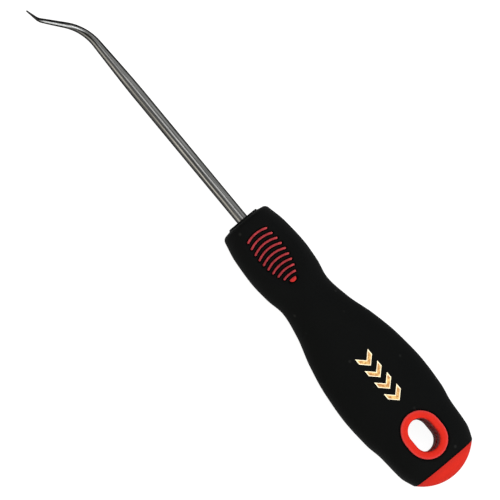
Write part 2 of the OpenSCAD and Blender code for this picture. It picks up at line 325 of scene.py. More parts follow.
# The ribs fill an oval zone that is widest at the fourth.
def ribLength(k):
    return rib["length"] * (1 - ((k - rib["longest"]) / rib["zoneHalf"]) ** 2) ** rib["zonePower"]


# How far toward the butt a rib's arc has run, at the distance off from its middle.
def ribBow(off):
    return rib["bowR"] - np.sqrt(rib["bowR"] ** 2 - off**2)


# How far y is from the tips of the rib that runs through x, y, taken as one of an unbroken row
def ribTipDistance(x, y):
    off = np.clip(y - rib["middleY"], -rib["reachY"], rib["reachY"])
    k = np.clip((x - ribBow(off) - rib["firstX"]) / rib["pitch"], 0, rib["count"] - 1)
    return ribLength(k) / 2 - np.abs(off)


# Distance to the nearest rib's edge: each rib is an arc of radius bowR about a centre behind it,
# with round ends, and the last is a drop.
def ribDistance(x, y):
    best = dropDistance(x, y)
    for k in range(rib["count"]):
        centreX = rib["firstX"] + k * rib["pitch"] + rib["bowR"]
        half = math.asin((ribLength(k) - rib["width"]) / 2 / rib["bowR"])
        angle = np.clip(np.arctan2(y - rib["middleY"], centreX - x), -half, half)
        nearX = centreX - rib["bowR"] * np.cos(angle)
        nearY = rib["middleY"] + rib["bowR"] * np.sin(angle)
        best = np.minimum(best, np.hypot(x - nearX, y - nearY) - rib["width"] / 2)
    return best


# X of the drop's middle: one pitch past the last rib, less a small gap
def dropMiddle():
    return rib["firstX"] + rib["count"] * rib["pitch"] - rib["dropGap"]


# Distance to the drop, taken as an ellipse of its own half sizes
def dropDistance(x, y):
    across = rib["dropHalfW"] / rib["dropR"]
    return np.hypot(x - dropMiddle(), (y - rib["middleY"]) / across) - rib["dropR"]


# Outline of the drop about its own middle: a half circle toward the butt, squared up toward the
# shank, so that it has two blunt corners there
def dropOutline(angle):
    toButt = np.cos(angle) > 0
    length, powerX, powerY = [np.where(toButt, b, s) for b, s in zip(rib["dropButt"], rib["dropShank"])]
    x = rib["dropR"] * length * signedPower(np.cos(angle), powerX)
    return x - rib["dropShift"] * rib["dropR"], rib["dropHalfW"] * signedPower(np.sin(angle), powerY)


# Half length of the slot's straight sides at a growth outward, and the length of its round end: the
# ends draw out as the outline grows, so that the wall's outside is nearly oval
def slotHalves(growth):
    half = (slot["length"] - slot["width"]) / 2 - growth / slot["drawOut"]
    return half, slot["length"] / 2 + growth - half


# Distance outward from the outside of the slot's wall, seen from above
def ringDistance(x, y):
    half, endLen = slotHalves(slot["wall"])
    halfW = slot["width"] / 2 + slot["wall"]
    along = np.maximum(np.abs(x - lie["slotX"]) - half, 0) * halfW / endLen
    return np.hypot(along, y) - halfW


# Outline with straight sides and round ends, as count points about the slot's centre, counter-
# clockwise from above, evenly spread by angle on the ends and by length on the sides
def stadiumOutline(growth, count):
    half, endLen = slotHalves(growth)
    side = count // 8
    end = count // 2 - side
    turnAngle = (np.arange(end) / end) * math.pi - math.pi / 2
    slide = half - 2 * half * np.arange(side) / side
    halfW = slot["width"] / 2 + growth
    x = np.concatenate([half + endLen * np.cos(turnAngle), slide])
    y = np.concatenate([halfW * np.sin(turnAngle), np.full(side, halfW)])
    return np.concatenate([x, -x]), np.concatenate([y, -y])


# Places of the skin's rings along X: round the front corner by angle, then at even steps.
def gripLengths():
    corner = np.radians(np.arange(0, 91, 9))
    front = [grip["cornerX"] + grip["cornerR"] * (1 - math.cos(f)) for f in corner]
    return np.concatenate([front] + [np.arange(*span) for span in grip["rings"]])


# Outer skin: the grip's section at each place along X, sheared in the rib zone so that the rings
# follow the ribs' arcs, then sunk into a rounded groove round every rib and round the ring.
def rubberSkin():
    u = gripLengths()[:, None]
    angle = evenAngles(grip["around"], 0.5)[None, :]
    f = np.arccos(np.clip(1 - (u - grip["cornerX"]) / grip["cornerR"], -1, 1))
    inset = np.where(u < grip["cornerX"] + grip["cornerR"], grip["cornerR"] * (1 - np.sin(f)), 0)
    flatY = gripSection(u, 0, angle)[0]
    fade = smoothStep(*grip["shearFrom"], u) * smoothStep(*grip["shearTo"], u)
    bow = ribBow(np.clip(flatY - rib["middleY"], -grip["shearHalf"], grip["shearHalf"]))
    x = u + fade * bow * smoothStep(*grip["shearSide"], np.abs(flatY))
    y, z = gripSection(x, inset, angle)
    ribGap = ribDistance(x, y)
    groove = grip["grooveDepth"] * smoothStep(*grip["grooveLip"], ribGap)
    groove = np.where(ribGap < -grip["slitIn"], groove + grip["slitDepth"], groove)
    nearRing = smoothStep(*grip["ringLip"], ringDistance(x, y))
    dip = grip["ringDip"] * nearRing * smoothStep(*grip["ringDipZ"], np.abs(z))
    return np.stack([x, y, z - np.sign(z) * (groove + dip)], axis=-1)


# Crowned front: from the hole's edge over the boss and its rim to the shoulder's corner.
def frontFace():
    angle = evenAngles(grip["around"], 0.5)
    circleY, circleZ = np.cos(angle), np.sin(angle)
    edgeY, edgeZ = gripSection(np.full(len(angle), grip["cornerX"]), grip["cornerR"], angle)
    flat = [(grip["holeR"], 0), (grip["bossInnerR"], 0)]
    rim = [(grip["bossR"] + out, x) for out, x in grip["bossRim"]]
    rings = [ringAt(x, radius * circleY, radius * circleZ) for radius, x in flat + rim]
    bossEdge, rise = rim[-1]
    for share in grip["frontShares"]:
        r = (1 - share) * bossEdge
        x = rise + share * (grip["cornerX"] - rise)
        rings.append(ringAt(x, r * circleY + share * edgeY, r * circleZ + share * edgeZ))
    return np.array(rings)


# Ring of the grip's section at x, drawn inward by inset
def sectionRing(x, inset, around):
    return ringAt(x, *gripSection(np.full(around, x), inset, evenAngles(around, 0.5)))


# Face between core and rubber, from the nose to the parting line.
def coreRings(around):
    nose = [(x, grip["rubberT"] + extra) for x, extra in grip["coreNose"]]
    bodyX = np.arange(grip["coreFrom"], grip["rubberEnd"] - grip["coreGap"], grip["coreStep"])
    body = [(x, grip["rubberT"]) for x in bodyX.tolist() + [grip["rubberEnd"]]]
    return np.array([sectionRing(x, inset, around) for x, inset in nose + body])


# Upright prism through the handle, hidden inside the ring's wall.
def slotPrism(growth, around=128, halfHeight=14.0):
    x, y = stadiumOutline(growth, around)
    x = lie["slotX"] + x
    rings = [np.column_stack([x, y, np.full(around, z)]) for z in (-halfHeight, halfHeight)]
    return closedTube(np.array(rings))


# Bores the blade's round hole between two places along X.
def cutBore(piece, span, around=64):
    angle = evenAngles(around)
    rings = [ringAt(x, grip["holeR"] * np.cos(angle), grip["holeR"] * np.sin(angle)) for x in span]
    cut(piece, addMesh("boreCutter", *closedTube(np.array(rings))))


# Sleeve: front, skin and rounded end as one closed tube, less the core, the ring and the blade
def buildSleeve():
    end = np.array([sectionRing(x, inset, grip["around"]) for x, inset in grip["endRim"]])
    outer = np.concatenate([frontFace(), rubberSkin(), end])
    piece = addMesh("rubber_grip", *closedTube(outer))
    around = grip["cutterAround"]
    inner = np.concatenate([coreRings(around), [sectionRing(grip["coreCutEnd"], grip["rubberT"], around)]])
    cut(piece, addMesh("coreCutter", *closedTube(inner)))
    cut(piece, addMesh("slotCutter", *slotPrism(slot["wall"] / 2)))
    cutBore(piece, grip["sleeveBore"])
    weld(piece)
    markSeams(piece)
    return piece


# The attribute stored here is painted shade along the seams: 1 where the rubber meets a rib, the ring or
# the dome, 0 from 0.7 mm away
def markSeams(piece):
    x, y, z = handlePoints(piece)
    atRibs = smoothStep(*paintedShadeAndHighlight["ribSeam"], ribDistance(x, y)) * smoothStep(*paintedShadeAndHighlight["ribSeamZ"], np.abs(z))
    atRing = smoothStep(*paintedShadeAndHighlight["ringSeam"], ringDistance(x, y)) * smoothStep(*paintedShadeAndHighlight["ringSeamZ"], np.abs(z))
    atDome = smoothStep(*paintedShadeAndHighlight["domeSeam"], grip["rubberEnd"] - x)
    storeValues(piece, "seam", np.maximum(np.maximum(atRibs, atRing), atDome))


# Core

dome = {"radius": 15.8, "length": 5.1, "halfT": 8.6, "gather": 1.1, "rimShade": 0.3}


# Butt: a ball's cap seen from above, flattened to the handle's thickness. Its rings gather toward
# the rubber, and its section goes from the grip's there to a plain ellipse at the end.
def domeRings(around, count=44):
    edge = math.acos(1 - dome["length"] / dome["radius"])
    squash = dome["halfT"] / (dome["radius"] * math.sin(edge))
    exponent = 2 / curve(grip["powers"], grip["rubberEnd"])
    angle = evenAngles(around, 0.5)
    rings = []
    for share in 1 - (np.arange(count) / count) ** dome["gather"]:
        f = edge * share
        r = dome["radius"] * math.sin(f)
        squared = exponent * share**2 + (1 - share**2)
        x = lie["handleLen"] - dome["radius"] * (1 - math.cos(f))
        y = r * signedPower(np.cos(angle), squared)
        rings.append(ringAt(x, y, r * squash * signedPower(np.sin(angle), squared)))
    return np.array(rings)


# Section of the slot's wall as (growth, height): from the outside up round the upper face, down the
# drafted wall to the narrow band at mid height, and the same mirrored below.
def ringProfile():
    face, mouth, edgeR, wall = lie["ringFace"], slot["mouth"], slot["edgeR"], slot["wall"]
    quarter = np.radians(np.arange(0, 91, 15))
    outer = [(wall - edgeR * (1 - math.cos(a)), face - edgeR * (1 - math.sin(a))) for a in quarter]
    landIn = slot["draft"] + mouth
    inner = [(landIn - mouth * math.sin(a), face - mouth * (1 - math.cos(a))) for a in quarter]
    wallDown = [(slot["draft"] * z / face, z) for z in slot["wallHeights"]]
    half = outer + [((wall - edgeR + landIn) / 2, face)] + inner + wallDown + slot["band"]
    return half + [(growth, -z) for growth, z in reversed(half)]


# The section carried round the slot's outline, its height growing along X so that both faces of the
# ring lie in the planes that the tool lies on.
def ringShell(around=176):
    profile = ringProfile()
    rings = []
    for growth, z in profile:
        x, y = stadiumOutline(growth, around)
        rings.append(np.column_stack([lie["slotX"] + x, y, z * (1 + x * restSlope / lie["ringFace"])]))
    return np.array(rings).reshape(-1, 3), tubeFaces(len(profile), around, True)


# One rib: a bar with a round crest, carried along its arc and drawn in at both ends. The
# section's half width and crest follow a half circle at each end, which reach keeps just open.
def ribShell(k, side, steps=40, across=16, reach=0.9995):
    centreX = rib["firstX"] + k * rib["pitch"] + rib["bowR"]
    halfLen = ribLength(k) / 2
    along = -np.cos(np.arange(steps + 1) * math.pi / steps) * reach * halfLen
    r = rib["width"] / 2
    toEnd = np.clip((halfLen - np.abs(along)) / r, 0, 1)
    draw = np.sqrt(np.clip(1 - (1 - toEnd) ** 2, 0, 1))
    angle = along / rib["bowR"]
    ringTurn = evenAngles(across)
    offset = r * signedPower(np.cos(ringTurn), rib["squared"])
    lift = signedPower(np.sin(ringTurn), rib["squared"])
    radius = rib["bowR"] - offset[None, :] * draw[:, None]
    x = centreX - radius * np.cos(angle)[:, None]
    y = rib["middleY"] + radius * np.sin(angle)[:, None]
    crest = rib["proud"] * rib["crestShare"]
    upper = crest * np.clip(lift, 0, 1)[None, :] * draw[:, None]
    lower = rib["foot"] * np.clip(lift, -1, 0)[None, :]
    z = side * (crestHeight(x, y, rib["proud"]) - crest + upper + lower)
    rings = np.stack([x, y, z], axis=-1)
    return closedTube(rings if side < 0 else rings[:, ::-1])


# The drop at the end of the ribs: its outline drawn in over a round crest
def dropShell(side, around=48):
    edgeX, edgeY = dropOutline(evenAngles(around))
    rings = []
    for share, depth in rib["dropCrest"]:
        x = dropMiddle() + edgeX * share
        y = rib["middleY"] + edgeY * share
        rings.append(np.column_stack([x, y, side * (crestHeight(x, y, rib["proud"]) - depth)]))
    rings = np.array(rings)
    return closedTube(rings if side > 0 else rings[:, ::-1])


# Core: body and dome as one closed tube, less the slot and the tang's bore, with the ring's wall and
# the ribs and drops of both faces joined on
def buildCore():
    around = grip["coreAround"]
    body = np.concatenate([coreRings(around), domeRings(around)])
    piece = addMesh("red_core", *closedTube(body))
    cut(piece, addMesh("slotCutter", *slotPrism(slot["wall"] / 2 - slot["overlap"])))
    cutBore(piece, grip["coreBore"])
    cut(piece, addMesh("ringPart", *ringShell()), "UNION")
    shells = [ribShell(k, side) for side in (1, -1) for k in range(rib["count"])]
    shells += [dropShell(side) for side in (1, -1)]
    cut(piece, addMesh("ribPart", *merged(shells)), "UNION")
    weld(piece)
    markCore(piece)
    return piece


# The first attribute stored here is painted shade: 1 on the slot's drafted wall, 0 on its rounded
# mouths, and less along the two edges of the band at mid height, where a painted reflection lightens
# it. The dome has a little of this painted shade where it meets the rubber. The second attribute is
# a painted highlight: 1 on the ring's outer edge and at the ribs' tips on the side away from the point.
def markCore(piece):
    x, y, z = handlePoints(piece)
    depth = np.abs(z) * lie["ringFace"] / restHeight(x)
    away = ringDistance(x, y)
    # Painted shade on the slot's wall, made lighter along the band's edges by a painted reflection
    atWall = smoothStep(*paintedShadeAndHighlight["wall"], away) * (np.abs(x - lie["slotX"]) < slot["length"])
    bandEdges = np.exp(-(((depth - slot["bandHalf"]) / paintedShadeAndHighlight["bandWidth"]) ** 2))
    atWall = atWall * smoothStep(*paintedShadeAndHighlight["mouth"], depth) * (1 - paintedShadeAndHighlight["bandPaintedReflection"] * bandEdges)
    intoDome = x - grip["rubberEnd"]
    atRim = dome["rimShade"] * smoothStep(*paintedShadeAndHighlight["rim"], intoDome) * (intoDome > -1)
    storeValues(piece, "inside", np.maximum(atWall, atRim))
    # Painted highlight on the ring's outer edge, near both faces, and at the ribs' tips away from the point
    atEdge = smoothStep(*paintedShadeAndHighlight["edgeIn"], away) * smoothStep(*paintedShadeAndHighlight["edgeOut"], away)
    atTips = smoothStep(*paintedShadeAndHighlight["tips"], ribTipDistance(x, y)) * (y > rib["middleY"]) * (x < paintedShadeAndHighlight["ribsEnd"])
    storeValues(piece, "paintedHighlight", np.maximum(atEdge * smoothStep(*paintedShadeAndHighlight["edgeZ"], depth), atTips))


# Blade

# "bend" and "turnBack" in degrees; "middle" and "point" are the straights after them, and "diameters"
# holds at the bend's start and end, the second bend's start and end, and the tip.
blade = {
    "shankR": 2.0, "taper": 22.0, "bend": 40.0, "turnBack": 27.0, "bendR": 17.0, "returnR": 5.0,
    "middle": 7.6, "point": 3.7, "diameters": [2.9, 2.0, 1.5, 1.0, 0.45], "tipRound": 0.1,
    "tang": 60.0, "tangRound": 0.5, "wingX": 36.0, "wingLen": 11.0, "wingHalf": 3.5, "wingT": 0.75,
    "wingRamp": 2.5, "around": 72, "hookRings": 170, "shankRings": 130, "tangRings": 90,
    "shankGap": 0.6, "shankEndX": 0.5, "tangX": 1.5,
}
bendTurn, backTurn = math.radians(blade["bend"]), math.radians(blade["turnBack"])
bendLen, backLen = blade["bendR"] * bendTurn, blade["returnR"] * backTurn
pointTurn = bendTurn - backTurn
# X of the bend's start: the tip's reach, less what each stretch of the hook takes up along X
hookStart = (blade["bendR"] * math.sin(bendTurn) + blade["middle"] * math.cos(bendTurn)
             + blade["returnR"] * (math.sin(bendTurn) - math.sin(pointTurn))
             + blade["point"] * math.cos(pointTurn) - lie["reach"])


# Centre line at length q from the first bend: x, y and heading. An arc of radius bendR, a straight,
# an arc of radius returnR the other way, and the straight point; before q = 0 it is straight.
def bladePath(q):
    bent = bendTurn * np.clip(q, 0, bendLen) / bendLen
    middle = np.clip(q - bendLen, 0, blade["middle"])
    heading = bent - backTurn * np.clip(q - bendLen - blade["middle"], 0, backLen) / backLen
    point = np.clip(q - bendLen - blade["middle"] - backLen, 0, None)
    x = (hookStart - np.minimum(q, 0) - blade["bendR"] * np.sin(bent) - middle * np.cos(bent)
         - blade["returnR"] * (np.sin(bent) - np.sin(heading)) - point * np.cos(heading))
    y = (-blade["bendR"] * (1 - np.cos(bent)) - middle * np.sin(bent)
         - blade["returnR"] * (np.cos(heading) - np.cos(bent)) - point * np.sin(heading))
    return x, y, heading


# Round section carried along the path, thinning to a blunted tip, with the tang's pressed wings
# as a flat bar blended round the shank. Attribute "straightened": each point as it would lie if the
# blade were unbent, in metres from the bend's start.
def buildBlade():
    tip = bendLen + blade["middle"] + backLen + blade["point"]
    bar = 2 * blade["shankR"]
    hookAt = [0, bendLen, bendLen + blade["middle"], tip - blade["point"], tip]
    stations = [[hookStart - blade["tang"] - 1, bar], [-blade["taper"], bar]]
    stations += list(zip(hookAt, blade["diameters"]))
    tangEnd = blade["tang"] - hookStart
    quarter = np.linspace(0, math.pi / 2, 6)[1:]
    q = np.concatenate([
        tip - blade["tipRound"] * (1 - np.cos(np.linspace(0, math.pi / 2, 5)[:-1])),
        np.linspace(tip - blade["tipRound"], 0, blade["hookRings"]),
        np.linspace(-blade["shankGap"], hookStart - blade["shankEndX"], blade["shankRings"]),
        np.linspace(hookStart - blade["tangX"], blade["tangRound"] - tangEnd, blade["tangRings"]),
        blade["tangRound"] * (1 - np.sin(quarter)) - tangEnd,
    ])
    radius = curve(stations, np.clip(q, stations[0][0], tip)) / 2
    radius[:4] *= np.sin(quarter[:4])
    radius[-5:] -= blade["tangRound"] * (1 - np.cos(quarter))
    x, y, heading = bladePath(q)
    angle = evenAngles(blade["around"])
    c, s = np.cos(angle)[None, :], np.sin(angle)[None, :]
    fromWing = x - blade["wingX"]
    wing = (smoothStep(0, blade["wingRamp"], fromWing)
            * smoothStep(0, blade["wingRamp"], blade["wingLen"] - fromWing))[:, None]
    reachY = 1 + (blade["wingHalf"] - 1) * wing
    sideways, upright = np.maximum(np.abs(c), 1e-6), np.maximum(np.abs(s), 1e-6)
    flatBar = np.minimum(reachY / sideways, blade["wingT"] / upright)
    r = np.where(wing > 0, np.maximum(radius[:, None], flatBar), radius[:, None])
    points = np.stack([
        x[:, None] - r * c * np.sin(heading)[:, None],
        y[:, None] + r * c * np.cos(heading)[:, None],
        r * s,
    ], axis=-1)
    piece = addMesh("steel_pick", *closedTube(points))
    straight = np.stack([np.broadcast_to(-q[:, None], r.shape), r * c, r * s], axis=-1).reshape(-1, 3)
    layout = np.concatenate([straight, [[-q[0], 0, 0], [-q[-1], 0, 0]]]) / 1000
    storeValues(piece, "straightened", layout, "FLOAT_VECTOR")
    return piece


# Foil mark

foil = {
    "from": 57.2, "to": 76.2, "low": -1.7, "high": 3.6, "lean": 2.6, "stroke": 2.1, "count": 4,
    "thick": 0.05, "sunk": 0.25, "rimW": 0.6, "steps": 40, "across": 14, "sharpAngle": 30,
}


# A row of plain chevrons stamped on the belly: each is a bent band, and its skin stands a
# twentieth of a millimetre above the rubber. Attribute "rim": 1 at a chevron's edge, 0 from rimW in.
def buildFoil():
    pitch = (foil["to"] - foil["from"] - foil["stroke"] - foil["lean"]) / (foil["count"] - 1)
    v = np.linspace(-1, 1, 2 * foil["steps"] + 1)
    w = np.linspace(0, foil["stroke"], foil["across"] + 1)
    lineY = (foil["low"] + foil["high"]) / 2 + v * (foil["high"] - foil["low"]) / 2
    toSide = np.minimum(w, foil["stroke"] - w)[None, :]
    toEnd = ((1 - np.abs(v)) * (foil["high"] - foil["low"]) / 2)[:, None]
    rim = np.clip(1 - np.minimum(toSide, toEnd) / foil["rimW"], 0, 1).ravel()
    shells = []
    for k in range(foil["count"]):
        lineX = foil["from"] + k * pitch + foil["lean"] * (1 - np.abs(v))
        x = lineX[:, None] + w[None, :]
        y = np.broadcast_to(lineY[:, None], x.shape)
        top = gripTop(x, y)
        root = np.stack([x, y, top - foil["sunk"]], axis=-1)
        shells.append(slab(root, np.stack([x, y, top + foil["thick"]], axis=-1)))
    piece = addMesh("foil_mark", *merged(shells), sharpAngle=foil["sharpAngle"])
    storeValues(piece, "rim", np.tile(rim, 2 * foil["count"]))
    return piece


# Closed slab between two grids of the same size.
def slab(bottom, top):
    rows, cols = top.shape[:2]
    count = rows * cols
    i = np.arange(rows - 1)[:, None]
    j = np.arange(cols - 1)[None, :]
    a = i * cols + j
    quad = np.stack([a, a + cols, a + cols + 1, a + 1], axis=-1).reshape(-1, 4)
    up = (quad[:, ::-1] + count).tolist()
    down = quad.tolist()
    rim = np.concatenate([
        np.arange(cols), np.arange(1, rows) * cols + cols - 1,
        (rows - 1) * cols + np.arange(cols - 2, -1, -1), np.arange(rows - 2, 0, -1) * cols,
    ])
    nextRim = np.roll(rim, -1)
    sides = np.stack([rim, nextRim, nextRim + count, rim + count], axis=-1).tolist()
    return np.concatenate([bottom.reshape(-1, 3), top.reshape(-1, 3)]), up + down + sides


sleeve = buildSleeve()
print("rubber grip:", len(sleeve.data.polygons), "faces")
core = buildCore()
print("red core:", len(core.data.polygons), "faces")
steel = buildBlade()
print("steel pick:", len(steel.data.polygons), "faces")
mark = buildFoil()
print("foil mark:", len(mark.data.polygons), "faces")


# Materials

# A material with its node tree and its shader
def newMaterial(name):
    material = bpy.data.materials.new(name)
    material.use_nodes = True
    return material, material.node_tree, material.node_tree.nodes["Principled BSDF"]


# Feeds a node's inputs from {input: source}, each source a plain value or another node's output.
def feed(tree, made, sources):
    for key, source in sources.items():
        if isinstance(source, bpy.types.NodeSocket):
            tree.links.new(source, made.inputs[key])
        else:
            made.inputs[key].default_value = source


# Node of a kind, with its inputs fed and its own settings
def node(tree, kind, sources=None, **settings):
    made = tree.nodes.new(kind)
    for key, value in settings.items():
        setattr(made, key, value)
    feed(tree, made, sources or {})
    return made


# Math on one or two sources
def mathNode(tree, operation, *sources):
    return node(tree, "ShaderNodeMath", dict(enumerate(sources)), operation=operation).outputs[0]


# Carries one range of values onto another, and holds it at both ends.
def rangeNode(tree, source, fromLow, fromHigh, toLow, toHigh):
    sources = {0: source, 1: fromLow, 2: fromHigh, 3: toLow, 4: toHigh}
    return node(tree, "ShaderNodeMapRange", sources).outputs[0]


# Mask from a value: 0 up to start, 1 from full on. start may be the larger one.
def ramp(tree, source, start, full):
    return rangeNode(tree, source, start, full, 0, 1)


# One colour over another by a mask. Each is a colour or another node's output.
def mixColours(tree, mask, under, over):
    under, over = [(*c, 1) if isinstance(c, tuple) else c for c in (under, over)]
    return node(tree, "ShaderNodeMix", {0: mask, 6: under, 7: over}, data_type="RGBA").outputs[2]


# A value or vector stored at the piece's points
def stored(tree, name, output="Fac"):
    return node(tree, "ShaderNodeAttribute", attribute_name=name).outputs[output]


# X, Y and Z of a vector
def split(tree, vector):
    return node(tree, "ShaderNodeSeparateXYZ", {0: vector}).outputs


# Object coordinates
def objectSpace(tree):
    return node(tree, "ShaderNodeTexCoord").outputs["Object"]


# Noise at given coordinates
def noise(tree, where, scale, detail, roughness):
    sources = {"Vector": where, "Scale": scale, "Detail": detail, "Roughness": roughness}
    return node(tree, "ShaderNodeTexNoise", sources).outputs["Fac"]


# Normal bumped by a height
def bump(tree, height, distance, strength):
    sources = {"Height": height, "Distance": distance, "Strength": strength}
    return node(tree, "ShaderNodeBump", sources).outputs["Normal"]


speckLook = {"dot": (0.3, 0.12), "grain": (3.0, 0.6), "cloud": (90.0, 4.0, 0.6)}


# Grit, grain and clouds for the moulded and printed surfaces. Mask: a dot of its own size in each
# cell of a fine Voronoi whose random value is above Share. Grain: fine noise. Cloud: broad noise.
def buildSpecks():
    group = bpy.data.node_groups.new("Specks", "ShaderNodeTree")
    group.interface.new_socket("Coordinates", in_out="INPUT", socket_type="NodeSocketVector")
    for label, value in (("Scale", 900.0), ("Share", 0.97), ("Grain scale", 6000.0)):
        socket = group.interface.new_socket(label, in_out="INPUT", socket_type="NodeSocketFloat")
        socket.default_value = value
    for label in ("Mask", "Grain", "Cloud"):
        group.interface.new_socket(label, in_out="OUTPUT", socket_type="NodeSocketFloat")
    given = group.nodes.new("NodeGroupInput").outputs
    where = given["Coordinates"]
    cells = node(group, "ShaderNodeTexVoronoi", {"Vector": where, "Scale": given["Scale"]}).outputs
    draws = node(group, "ShaderNodeSeparateColor", {"Color": cells["Color"]}).outputs
    picked = mathNode(group, "GREATER_THAN", draws["Red"], given["Share"])
    feed(group, group.nodes.new("NodeGroupOutput"), {
        "Mask": mathNode(group, "MULTIPLY", picked, ramp(group, cells["Distance"], *speckLook["dot"])),
        "Grain": noise(group, where, given["Grain scale"], *speckLook["grain"]),
        "Cloud": noise(group, where, *speckLook["cloud"]),
    })
    return group


specks = buildSpecks()


# The speck group on Object coordinates, with a material's own values
def placeSpecks(tree, values):
    sources = {"Coordinates": objectSpace(tree), **values}
    return node(tree, "ShaderNodeGroup", sources, node_tree=specks).outputs


# Finish of a moulded surface: roughness from the clouds, a fine bump from the grain, a low gloss
def mouldedFinish(tree, dust, look):
    return {
        "Roughness": rangeNode(tree, dust["Cloud"], *look["roughFrom"], *look["rough"]),
        "Normal": bump(tree, dust["Grain"], *look["grain"]), "Specular IOR Level": look["specular"],
    }


rubberLook = {
    "colour": (0.0028, 0.0031, 0.0031), "dusty": (0.0042, 0.0046, 0.0045), "speck": (0.014, 0.0145, 0.014),
    # The seam colour is painted shade in the grooves round the ribs, the ring and the dome
    "seam": (0.0008, 0.0007, 0.0007), "clouds": (0.35, 0.65), "specular": 0.04,
    "roughFrom": (0.3, 0.7), "rough": (0.76, 0.9), "grain": (0.00003, 0.5),
    "specks": {"Scale": 450.0, "Share": 0.975, "Grain scale": 5200.0},
}


# Soft rubber: nearly black, with dust in clouds and in specks, and darkened along its seams by painted
# shade
def makeRubber():
    material, tree, shader = newMaterial("soft_rubber")
    dust = placeSpecks(tree, rubberLook["specks"])
    cloudy = ramp(tree, dust["Cloud"], *rubberLook["clouds"])
    colour = mixColours(tree, cloudy, rubberLook["colour"], rubberLook["dusty"])
    specked = mixColours(tree, dust["Mask"], colour, rubberLook["speck"])
    seamed = mixColours(tree, stored(tree, "seam"), specked, rubberLook["seam"])
    feed(tree, shader, {"Base Color": seamed, **mouldedFinish(tree, dust, rubberLook)})
    return material


redLook = {
    "colour": (0.78, 0.03, 0.017), "deep": (0.71, 0.024, 0.013), "clouds": (0.35, 0.75),
    # The two rib colours are painted shade: darker copies of the red, mixed in random patches
    "ribs": (0.3, 0.03, 0.036), "ribsBright": (0.47, 0.048, 0.06), "patches": (0.38, 0.66),
    "ribsFade": 0.002, "inside": (0.28, 0.02, 0.02), "paintedHighlight": (0.8, 0.1, 0.11), "paintedHighlightShare": 0.4,
    "specular": 0.06, "roughFrom": (0.3, 0.7), "rough": (0.66, 0.78), "grain": (0.00002, 0.4),
    "specks": {"Grain scale": 1000.0},
}


# Red plastic: clouded on the ring and the dome, darkened by painted shade and patchy on the ribs,
# paled by a painted highlight on the ring's edge and the ribs' tips, and darkened by painted shade inside
# the slot
def makeRed():
    material, tree, shader = newMaterial("red_plastic")
    dust = placeSpecks(tree, redLook["specks"])
    cloudy = ramp(tree, dust["Cloud"], *redLook["clouds"])
    body = mixColours(tree, cloudy, redLook["colour"], redLook["deep"])
    patchy = ramp(tree, dust["Grain"], *redLook["patches"])
    # Painted shade: the ribs take a darker copy of the red
    ribs = mixColours(tree, patchy, redLook["ribs"], redLook["ribsBright"])
    ribsEnd = float(place((paintedShadeAndHighlight["ribsEnd"], 0, 0))[0])
    atRibs = ramp(tree, split(tree, objectSpace(tree))["X"], ribsEnd + redLook["ribsFade"], ribsEnd)
    # Painted highlight, mixed in up to its share
    paintedHighlight = rangeNode(tree, stored(tree, "paintedHighlight"), 0, 1, 0, redLook["paintedHighlightShare"])
    edged = mixColours(tree, paintedHighlight, mixColours(tree, atRibs, body, ribs), redLook["paintedHighlight"])
    # Painted shade: the slot's wall and the dome's rim are darkened
    shaded = mixColours(tree, stored(tree, "inside"), edged, redLook["inside"])
    feed(tree, shader, {"Base Color": shaded, **mouldedFinish(tree, dust, redLook)})
    return material


# "Along" gives metres along the straightened blade, from the bend's start toward the handle, and
# "Across" how far round it from the crest, moved sideways by "Shift", to the sides.
steelLook = {
    "colour": (0.1, 0.1, 0.098), "dark": (0.038, 0.038, 0.037), "streaks": (0.38, 0.68),
    # The flank colour is a painted dark reflection, on the flanks and over the whole hook
    "flank": (0.012, 0.012, 0.012), "flankAlong": (0.014, 0.004), "flankAcross": (0.6, 0.95),
    "flankShift": 0.2,
    # The line colour is a painted dark reflection along the crest
    "line": (0.004, 0.004, 0.003), "lineAlong": (0.004, -0.003), "lineEnd": (-0.01, -0.008),
    "lineAcross": (0.3, 0.14), "lineShift": 0.1,
    # The pale colour on this row is a painted highlight along the crest, with its own roughness
    "paintedCrestHighlight": (0.46, 0.47, 0.47), "crestHighlightAlong": (-0.004, -0.012), "crestHighlightAcross": (0.33, 0.13),
    "shiftAlong": (-0.011, -0.005), "crestHighlightShift": (0.32, -0.35), "roughCrestHighlight": 0.42,
    "rough": (0.17, 0.25), "roughFrom": (0.3, 0.7), "streakBump": (0.00001, 0.5),
    "edge": (0.06, 0.06, 0.06), "hookFade": (0.002, -0.001), "endFade": (-0.001, 0.001),
    "stretch": (0.02, 1.0, 1.0), "streakNoise": (2600.0, 4.0, 0.65), "blotchNoise": (260.0, 3.0, 0.6),
}


# How far round the blade a point lies from its crest: 0 at the top and bottom, 1 at both sides. It
# is the size of Y in the direction (0, Y, Z) across the straightened blade, after a shift.
def flankOf(tree, layout, shift):
    flat = node(tree, "ShaderNodeVectorMath", {0: layout, 1: (0.0, 1.0, 1.0)}, operation="MULTIPLY")
    unit = node(tree, "ShaderNodeVectorMath", {0: flat.outputs[0]}, operation="NORMALIZE")
    return mathNode(tree, "ABSOLUTE", mathNode(tree, "ADD", split(tree, unit.outputs[0])["Y"], shift))


# Mask of a stretch along the blade and a band round it
def bandMask(tree, layout, alongPair, acrossPair, shift):
    stretch = ramp(tree, split(tree, layout)["X"], *alongPair)
    return mathNode(tree, "MULTIPLY", stretch, ramp(tree, flankOf(tree, layout, shift), *acrossPair))
